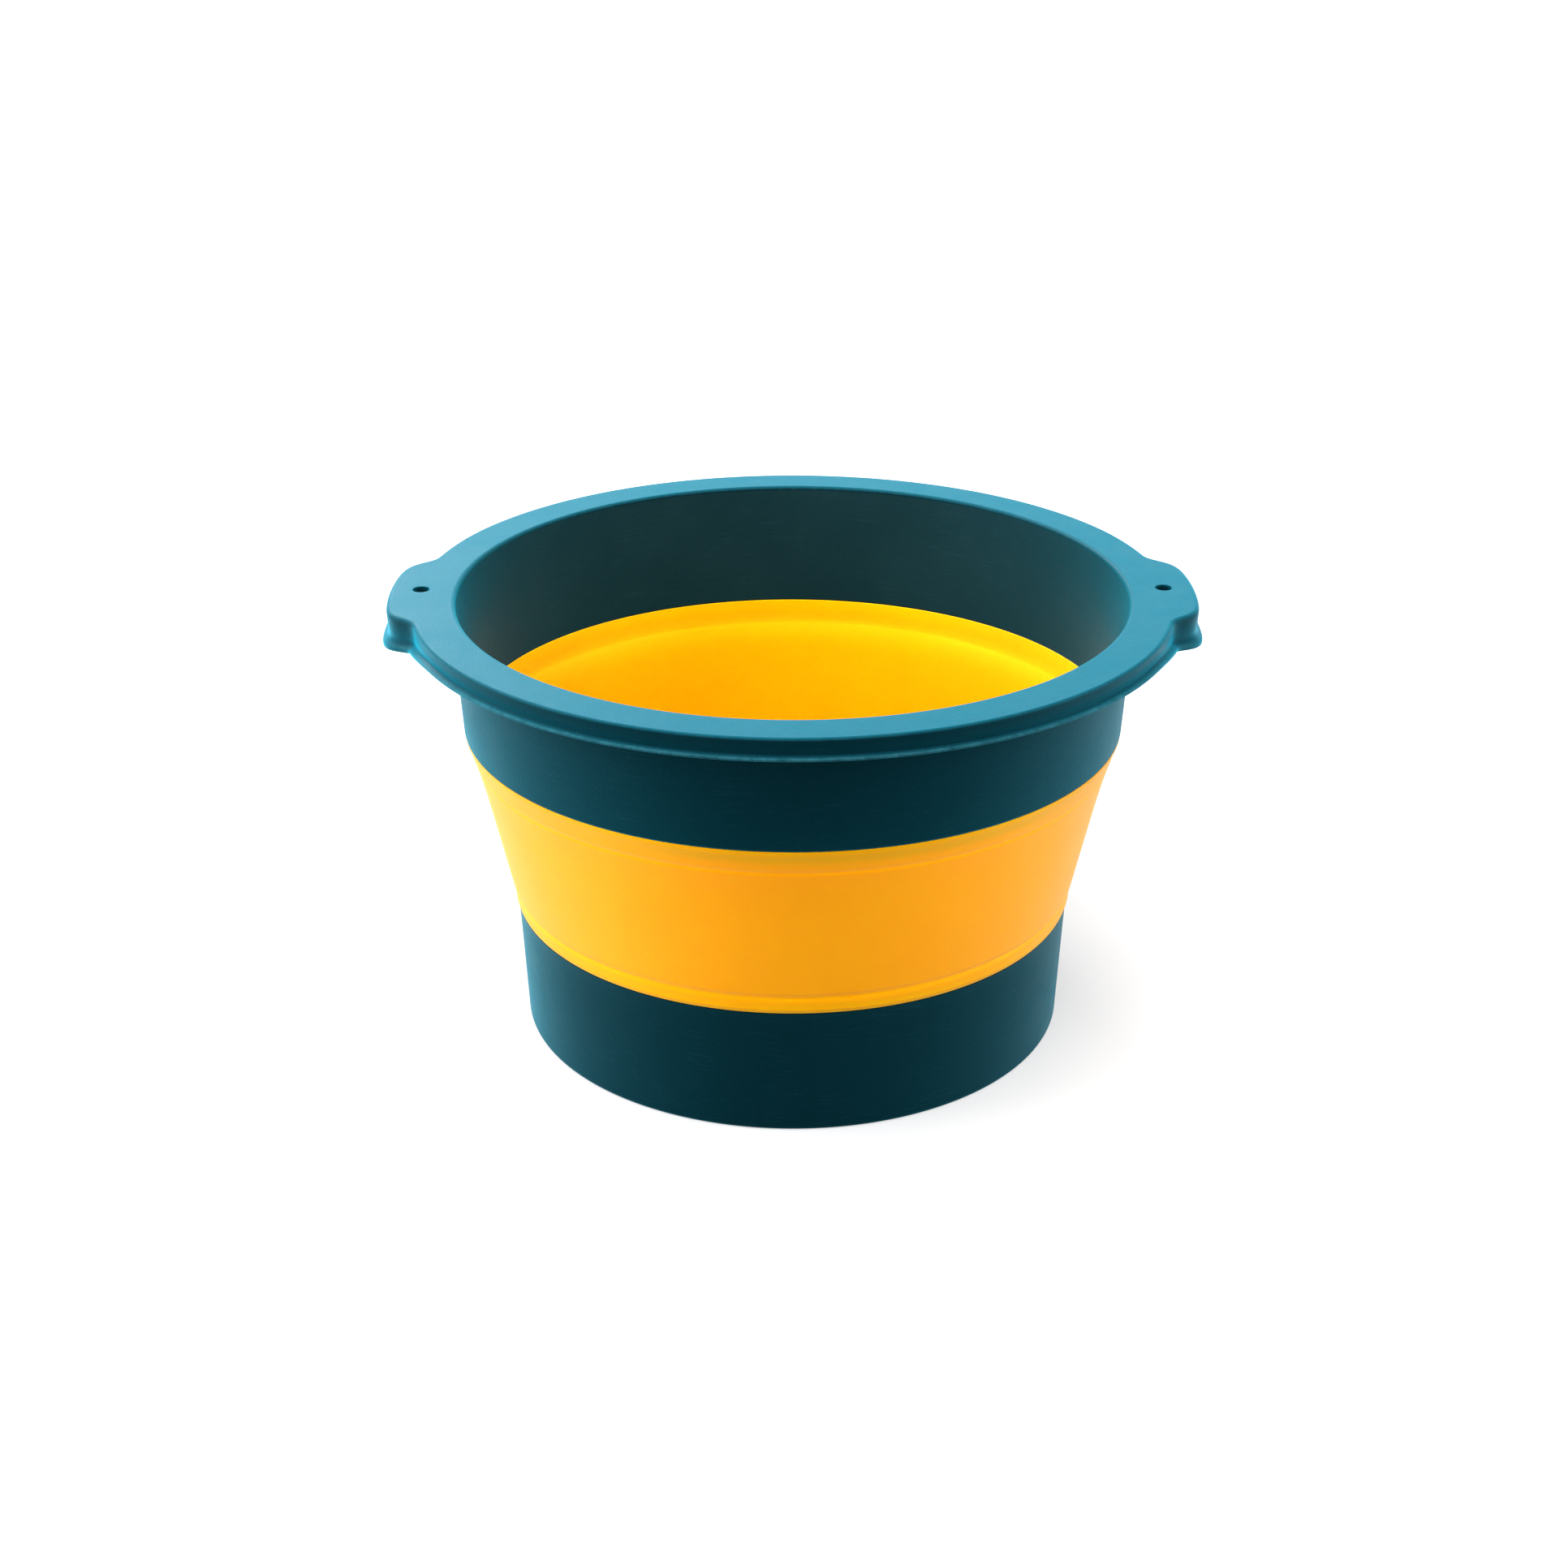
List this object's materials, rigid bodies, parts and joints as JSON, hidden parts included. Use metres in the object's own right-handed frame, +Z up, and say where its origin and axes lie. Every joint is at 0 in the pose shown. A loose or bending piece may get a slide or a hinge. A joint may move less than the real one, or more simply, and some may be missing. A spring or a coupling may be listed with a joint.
{
  "type": "collapsible bucket",
  "caption": "Round collapsible bucket: a stiff rim band with eared grips and a stiff base cup, joined by a soft conical wall that turns inside out to press flat.",
  "frame": {"origin": "middle of the base's footprint, on the floor", "axes": "+Z up out of the open mouth, X through the ears of the rim, Y across it; the bucket stands open at rest"},
  "size_m": [0.3372, 0.3182, 0.1879],
  "materials": {
    "stiff_teal": "moulded polypropylene, fine satin",
    "soft_yellow": "soft thermoplastic elastomer, satin"
  },
  "bodies": {
    "base": {"base_cup": "stiff_teal", "lower_collar": "soft_yellow", "fold_panel": "soft_yellow"},
    "rim": {"rim_frame": "stiff_teal", "upper_collar": "soft_yellow"}
  },
  "joints": [
    {"name": "collapse", "type": "slide", "parent": "base", "child": "rim", "axis": [0, 0, -1], "range_m": [0, 0.122], "deforming": ["fold_panel"]}
  ]
}
